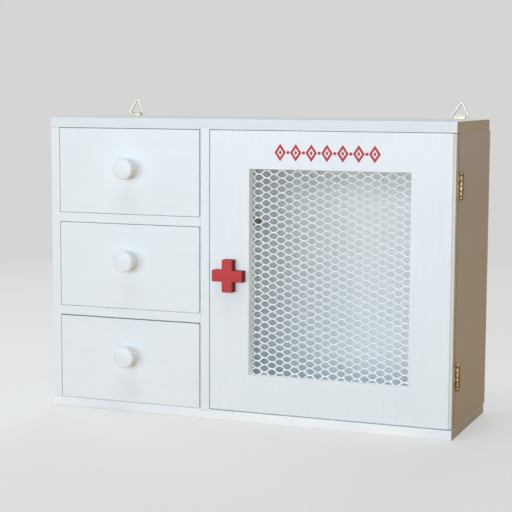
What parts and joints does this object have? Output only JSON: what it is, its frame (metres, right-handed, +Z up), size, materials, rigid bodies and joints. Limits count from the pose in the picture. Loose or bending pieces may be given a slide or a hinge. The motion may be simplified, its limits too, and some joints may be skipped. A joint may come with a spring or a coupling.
{
  "type": "medicine cabinet",
  "caption": "Small white wooden wall or table medicine cabinet: drawers with round knobs beside a hinged door with a netted window and a plus-shaped handle.",
  "frame": {"origin": "middle of the bottom board's underside", "axes": "+X to the right seen from the front, +Y to the back, +Z up"},
  "size_m": [0.4047, 0.1465, 0.2984],
  "materials": {
    "white_paint": "satin white paint",
    "raw_wood": "bare, sanded",
    "white_net": "white coated wire",
    "red_paint": "satin red paint",
    "brass": "antique brass",
    "pale_brass": "bright brass",
    "steel": "zinc plated",
    "white_plastic": "moulded",
    "magnet": "sintered",
    "brown_plastic": "moulded"
  },
  "bodies": {
    "carcass": {"top_board": "white_paint", "bottom_board": "white_paint", "left_side_panel": "white_paint", "right_side_panel": "white_paint", "divider_panel": "white_paint", "lower_drawer_shelf": "white_paint", "upper_drawer_shelf": "white_paint", "back_panel": "white_paint", "back_panel_nails": "steel", "carcass_brads": "steel", "catch_screws": "steel", "shelf_pegs": "brown_plastic", "catch_housing": "white_plastic", "catch_magnet": "magnet", "lower_hinge_frame_leaf": "brass", "lower_hinge_pin": "brass", "upper_hinge_frame_leaf": "brass", "upper_hinge_pin": "brass", "hinge_frame_screws": "brass", "left_hanger_plate": "pale_brass", "right_hanger_plate": "pale_brass", "hanger_screws": "pale_brass"},
    "door": {"door_board": "white_paint", "net_battens": "white_paint", "net_batten_brads": "steel", "handle_screws": "steel", "strike_plate": "steel", "strike_screw": "steel", "door_net": "white_net", "plus_handle": "red_paint", "lower_hinge_door_leaf": "brass", "upper_hinge_door_leaf": "brass", "hinge_door_screws": "brass"},
    "bottom_drawer": {"bottom_drawer_front": "white_paint", "bottom_drawer_knob": "white_paint", "bottom_drawer_knob_screw": "steel", "bottom_drawer_left_side": "raw_wood", "bottom_drawer_right_side": "raw_wood", "bottom_drawer_back": "raw_wood", "bottom_drawer_bottom": "raw_wood"},
    "middle_drawer": {"middle_drawer_front": "white_paint", "middle_drawer_knob": "white_paint", "middle_drawer_knob_screw": "steel", "middle_drawer_left_side": "raw_wood", "middle_drawer_right_side": "raw_wood", "middle_drawer_back": "raw_wood", "middle_drawer_bottom": "raw_wood"},
    "top_drawer": {"top_drawer_front": "white_paint", "top_drawer_knob": "white_paint", "top_drawer_knob_screw": "steel", "top_drawer_left_side": "raw_wood", "top_drawer_right_side": "raw_wood", "top_drawer_back": "raw_wood", "top_drawer_bottom": "raw_wood"},
    "left_ring": {"left_hanging_ring": "pale_brass"},
    "right_ring": {"right_hanging_ring": "pale_brass"}
  },
  "joints": [
    {"name": "door_hinge", "type": "hinge", "parent": "carcass", "child": "door", "pos_m": [0.2025, -0.0543, 0.141], "axis": [0, 0, 1], "range_deg": [0, 180]},
    {"name": "bottom_drawer_slide", "type": "slide", "parent": "carcass", "child": "bottom_drawer", "axis": [0, -1, 0], "range_m": [0, 0.095]},
    {"name": "middle_drawer_slide", "type": "slide", "parent": "carcass", "child": "middle_drawer", "axis": [0, -1, 0], "range_m": [0, 0.095]},
    {"name": "top_drawer_slide", "type": "slide", "parent": "carcass", "child": "top_drawer", "axis": [0, -1, 0], "range_m": [0, 0.095]},
    {"name": "left_ring_swing", "type": "hinge", "parent": "carcass", "child": "left_ring", "pos_m": [-0.171, 0.06535, 0.2838], "axis": [-1, 0, 0], "range_deg": [-90, 155]},
    {"name": "right_ring_swing", "type": "hinge", "parent": "carcass", "child": "right_ring", "pos_m": [0.171, 0.06535, 0.2838], "axis": [-1, 0, 0], "range_deg": [-90, 155]}
  ]
}
